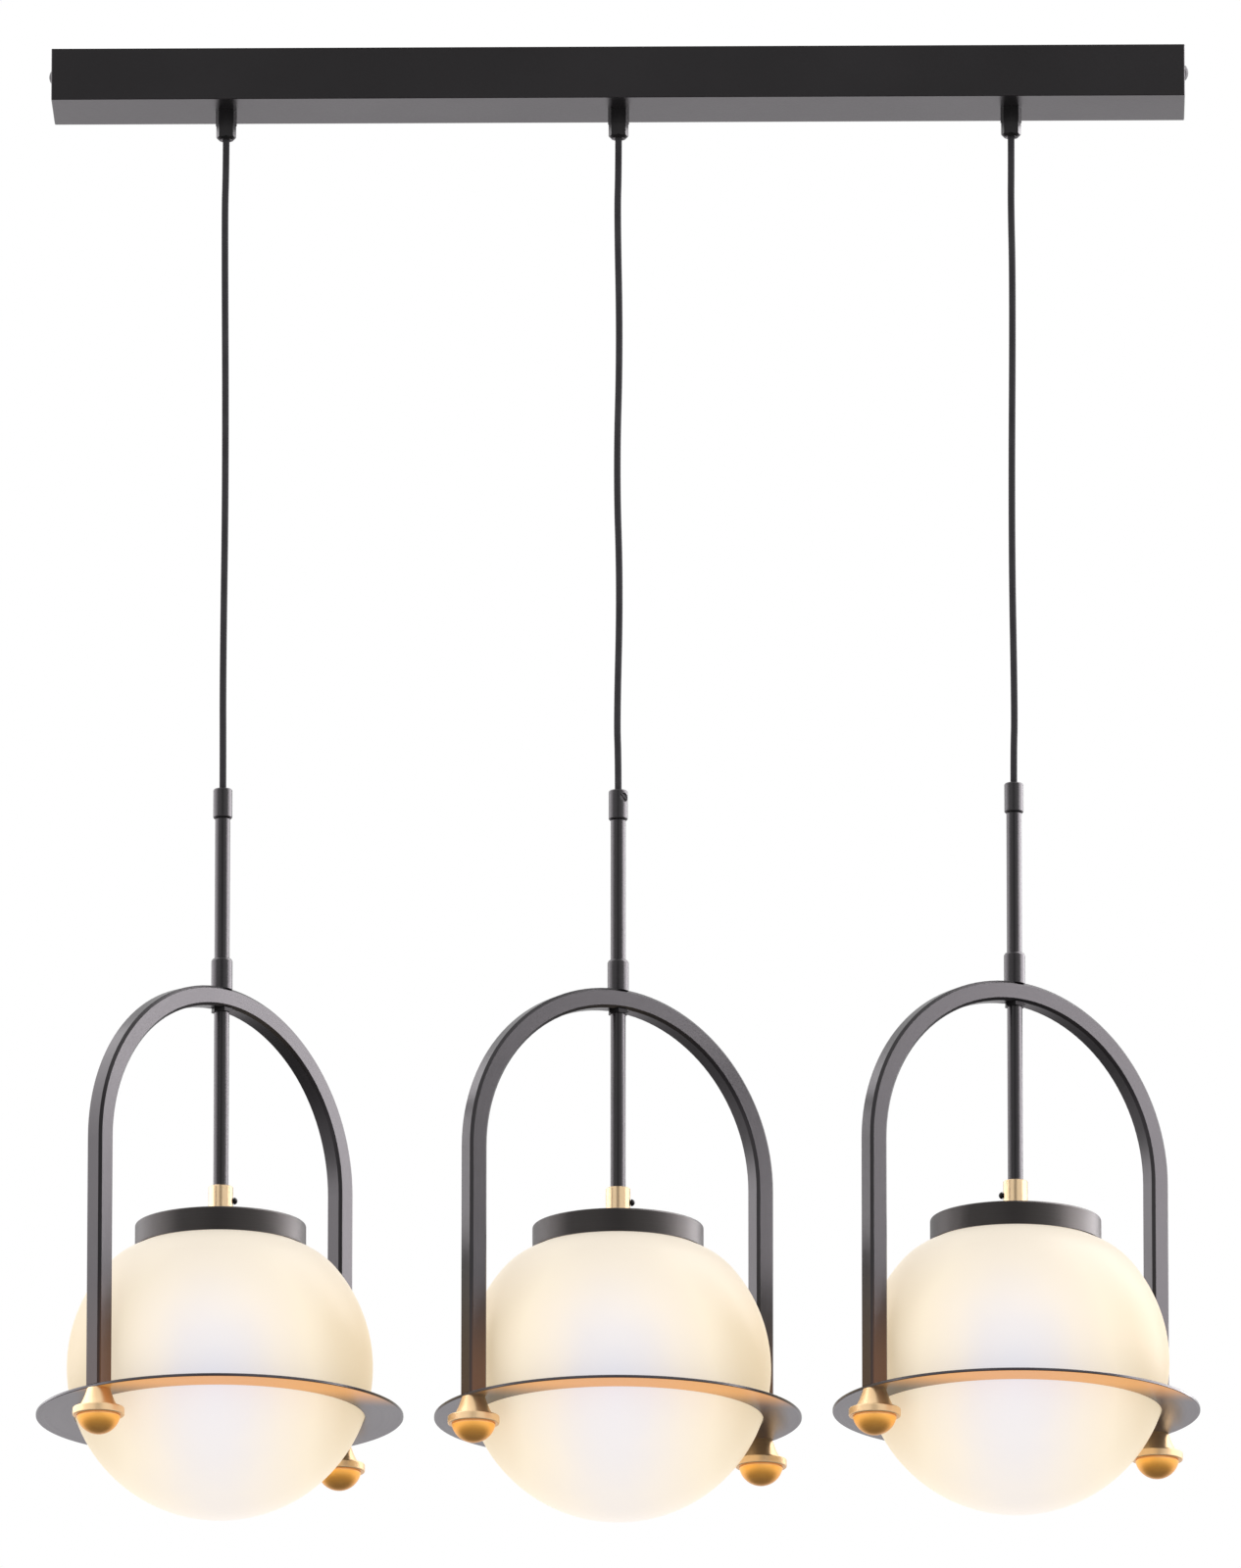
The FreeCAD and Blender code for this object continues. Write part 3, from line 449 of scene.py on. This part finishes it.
def plated_steel(name):
    board = Finish(name, Metallic=1.0)
    point = board.place()
    cloud = board.noise(point, PLATING_MOTTLE, detail=4.0)
    board.set("Base Color", board.shades(cloud, *PLATED_STEEL))
    board.set("Roughness", cloud * 0.2 + PLATED_ROUGHNESS)
    board.bump(board.noise(point, PLATING_GRAIN), 0.15, METAL_DEPTH)
    return board.material


def moulded(name, colours):
    board = Finish(name)
    point = board.place()
    cloud = board.noise(point, MOULD_MOTTLE, detail=3.0)
    board.set("Base Color", board.shades(cloud, *colours))
    board.set("Roughness", cloud * 0.1 + MOULDED_ROUGHNESS)
    board.bump(board.noise(point, MOULD_GRAIN), 0.2, MOULD_DEPTH)
    return board.material


def finish_nodes(sheath):
    """Give every CAD node its material."""
    gloss = satin_paint("grip_black", GRIP_BLACK, GRIP_ROUGHNESS, peel=0.15, specular=0.25)
    screw = satin_paint("black_screw", SCREW_BLACK, SCREW_ROUGHNESS, peel=0.15, specular=0.12)
    plated = plated_steel("plated_steel")
    holder = moulded("holder_plastic", HOLDER_PLASTIC)
    bulb = frosted_bulb("bulb_glass")
    finishes = {
        "canopy_housing": satin_paint("bar_paint", BAR_BLACK, BAR_ROUGHNESS),
        "canopy_side_screws": screw,
        "ceiling_bracket": plated,
        "grip_locknuts": plated,
        "cord_tails": sheath,
        "terminal_block": moulded("terminal_plastic", TERMINAL_PLASTIC),
    }
    for side in SIDES:
        collar_foot = (CENTRE_X[side], 0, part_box(f"cap_collar_{side}")[0].z)
        finishes.update({
            f"cord_grip_{side}": gloss,
            f"stem_grip_{side}": satin_paint(
                f"stem_grip_{side}", STEM_GRIP_BLACK, STEM_GRIP_ROUGHNESS, peel=0.08),
            f"stem_grip_screw_{side}": screw,
            f"lead_{side}": sheath,
            f"stem_{side}": brushed_black("stem", side, "straight"),
            f"stem_coupling_{side}": brushed_black("stem_coupling", side, "round"),
            f"arch_{side}": brushed_black("arch", side, "arched"),
            f"arch_locknut_{side}": screw,
            f"ring_{side}": brushed_black("ring", side, "round"),
            f"cap_{side}": brushed_black("cap", side, "round"),
            f"cap_collar_{side}": turned_brass(
                f"collar_brass_{side}", collar_foot, COLLAR_BRASS, COLLAR_ROUGHNESS),
            f"thumb_screw_{side}": screw,
            f"socket_{side}": holder,
            f"bulb_{side}": bulb,
            f"globe_{side}": opal_glass(f"opal_glass_{side}", side),
        })
        for leg in ("near", "far"):
            low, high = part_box(f"finial_{leg}_{side}")
            top = ((low.x + high.x) / 2, (low.y + high.y) / 2, high.z)
            finishes[f"finial_{leg}_{side}"] = turned_brass(
                f"finial_brass_{leg}_{side}", top, FINIAL_BRASS, FINIAL_ROUGHNESS)
    for name, material in finishes.items():
        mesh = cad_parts[name].data
        mesh.materials.clear()
        mesh.materials.append(material)


# Cords

CORD_DIAMETER = 0.0045
CORD_STRAIGHT = 0.027
CORD_ROUNDNESS = 6
CORD_SMOOTHNESS = 16

# Each wave is the drop below the upper grip, then how far the cord is aside and how far behind
CORD_WAVES = {
    "left": [(0.055, -0.0008, 0.0004), (0.226, 0.0009, -0.0007), (0.370, -0.0004, 0.0005)],
    "middle": [(0.055, -0.0008, -0.0004), (0.146, 0.0010, 0.0006), (0.233, -0.0013, -0.0005),
               (0.313, 0.0012, 0.0006), (0.403, -0.0009, -0.0003)],
    "right": [(0.048, -0.0003, 0.0005), (0.109, 0.0007, -0.0006), (0.276, -0.0009, 0.0007),
              (0.400, 0.0008, -0.0004)],
}


def hang_cord(side, material):
    """The hanging cord: straight where it leaves its two grips, with slight waves between them."""
    low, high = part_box(f"cord_{side}")
    foot = Vector((CENTRE_X[side], 0, low.z))
    head = Vector((CENTRE_X[side], 0, high.z))
    end = Vector((0, 0, CORD_STRAIGHT))
    waves = [head + Vector((aside, behind, -drop)) for drop, aside, behind in CORD_WAVES[side]]
    path = [head, head - end, *waves, foot + end, foot]
    shape = bpy.data.curves.new(f"hanging_cord_{side}", "CURVE")
    shape.dimensions = "3D"
    shape.bevel_depth = CORD_DIAMETER / 2
    shape.bevel_resolution = CORD_ROUNDNESS
    shape.use_fill_caps = True
    line = shape.splines.new("NURBS")
    line.points.add(len(path) - 1)
    for point, place in zip(line.points, path):
        point.co = (*place, 1)
    line.order_u = 3
    line.use_endpoint_u = True
    shape.resolution_u = CORD_SMOOTHNESS
    shape.materials.append(material)
    cord = bpy.data.objects.new(f"hanging_cord_{side}", shape)
    bpy.context.scene.collection.objects.link(cord)
    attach(cord, f"hanging_cord_{side}")
    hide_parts(f"cord_{side}")


# Studio

ROOM_LIGHT = 0.75
FLOOR_HEIGHT = -4.6
FLOOR_SIZE = 60.0
FLOOR_WHITE = rgba(0.9, 0.9, 0.9)
FLOOR_ROUGHNESS = 0.7
FLOOR_FADE = (3.0, 12.0)
FLOOR_SHINE = (0.16, 1.0)
BOX_COLOUR = (1.0, 0.96, 1.0)
BOX_PLACE = 1.6
BOX_FRONT = -0.54
BOX_BACK = 1.6
BOX_FOOT = -0.7
BOX_TOP = 4.0
LEFT_BOX_LEVEL = 2.7
RIGHT_BOX_LEVEL = 7.5
BRASS_BOX_LEVEL = 1.8
SCREEN_PLACE = -18.0
SCREEN_MIDDLE = 4.5
SCREEN_WIDTH = 8.0
SCREEN_HEIGHT = 18.0
SCREEN_LEVEL = 0.3


def build_floor():
    """A pale floor: white to the camera, dim in gloss near its middle, and clear from below."""
    bpy.ops.mesh.primitive_plane_add(size=FLOOR_SIZE, location=(0, 0, FLOOR_HEIGHT))
    floor = bpy.context.object
    floor.name = "floor"
    board = Finish("floor_paint", Base_Color=FLOOR_WHITE, Roughness=FLOOR_ROUGHNESS)
    seen = board.node("ShaderNodeLightPath", output="Is Camera Ray")
    mirrored = board.node("ShaderNodeLightPath", output="Is Glossy Ray")
    x, y, _ = board.parts(board.place())
    far = board.band((x * x + y * y) ** 0.5, *FLOOR_FADE)
    shine = board.node("ShaderNodeMapRange", {}, [far, 0.0, 1.0, *FLOOR_SHINE])
    light = board.node("ShaderNodeEmission", {}, {
        "Color": board.blend(mirrored, rgba(1, 1, 1), rgba(*BOX_COLOUR)),
        "Strength": (shine * mirrored).maths("MAXIMUM", seen)})
    paint = Value(board, board.shader.outputs["BSDF"])
    lit = board.node("ShaderNodeMixShader", {}, [seen + mirrored, paint, light])
    under = board.node("ShaderNodeNewGeometry", output="Backfacing")
    clear = board.node("ShaderNodeBsdfTransparent")
    board.show(board.node("ShaderNodeMixShader", {}, [under, lit, clear]))
    floor.data.materials.append(board.material)


def build_room():
    """A pale room: white where it is seen or mirrored, softer as light."""
    world = bpy.data.worlds.new("room")
    world.use_nodes = True
    bpy.context.scene.world = world
    board = Board(world.node_tree)
    direct = board.node("ShaderNodeLightPath", output="Is Camera Ray")
    for ray in ("Is Glossy Ray", "Is Transmission Ray"):
        direct = direct.maths("MAXIMUM", board.node("ShaderNodeLightPath", output=ray))
    level = board.node("ShaderNodeMapRange", {}, [direct, 0.0, 1.0, ROOM_LIGHT, 1.0])
    background = board.present("BACKGROUND")
    board.feed(background.inputs["Strength"], level)
    board.feed(background.inputs["Color"], rgba(1, 1, 1))


def dark_screen():
    """A narrow dark screen behind the camera, which darkens what faces it."""
    bpy.ops.mesh.primitive_plane_add(size=1, location=(0, SCREEN_PLACE, SCREEN_MIDDLE),
                                     rotation=(math.pi / 2, 0, 0))
    screen = bpy.context.object
    screen.name = "dark_screen"
    screen.scale = (SCREEN_WIDTH, SCREEN_HEIGHT, 1)
    screen.visible_camera = False
    screen.visible_diffuse = False
    board = Finish("screen_cloth")
    board.show(board.node("ShaderNodeEmission", {}, [rgba(1, 1, 1), SCREEN_LEVEL]))
    screen.data.materials.append(board.material)


def brass_collection(name, link_state):
    """The brass pieces, for lights that leave them out or that light them alone."""
    brass = bpy.data.collections.new(name)
    for side in SIDES:
        for piece in ("cap_collar", "finial_near", "finial_far"):
            brass.objects.link(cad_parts[f"{piece}_{side}"])
    for entry in brass.collection_objects:
        entry.light_linking.link_state = link_state
    return brass


def side_box(name, way, level, lit):
    """A tall soft box beside the lamps, which shows in gloss only."""
    data = bpy.data.lights.new(name, "AREA")
    data.shape = "RECTANGLE"
    data.size = BOX_TOP - BOX_FOOT
    data.size_y = BOX_BACK - BOX_FRONT
    data.color = BOX_COLOUR
    data.energy = level * math.pi * data.size * data.size_y
    box = bpy.data.objects.new(name, data)
    box.location = (way * BOX_PLACE, (BOX_FRONT + BOX_BACK) / 2, (BOX_FOOT + BOX_TOP) / 2)
    box.rotation_euler = (0, way * math.pi / 2, 0)
    box.visible_camera = False
    box.visible_diffuse = False
    box.light_linking.receiver_collection = lit
    bpy.context.scene.collection.objects.link(box)


def side_boxes():
    """Bright boxes for the black metal, and weaker ones for the brass, which mirrors more."""
    all_but_brass = brass_collection("all_but_brass", "EXCLUDE")
    brass_alone = brass_collection("brass_alone", "INCLUDE")
    side_box("left_box", -1, LEFT_BOX_LEVEL, all_but_brass)
    side_box("right_box", 1, RIGHT_BOX_LEVEL, all_but_brass)
    side_box("left_brass_box", -1, BRASS_BOX_LEVEL, brass_alone)
    side_box("right_brass_box", 1, BRASS_BOX_LEVEL, brass_alone)


bpy.context.scene.view_settings.view_transform = "Standard"
place_camera()
sheath = cord_sheath("cord_sheath")
finish_nodes(sheath)
for side in SIDES:
    hang_cord(side, sheath)
build_floor()
build_room()
dark_screen()
side_boxes()
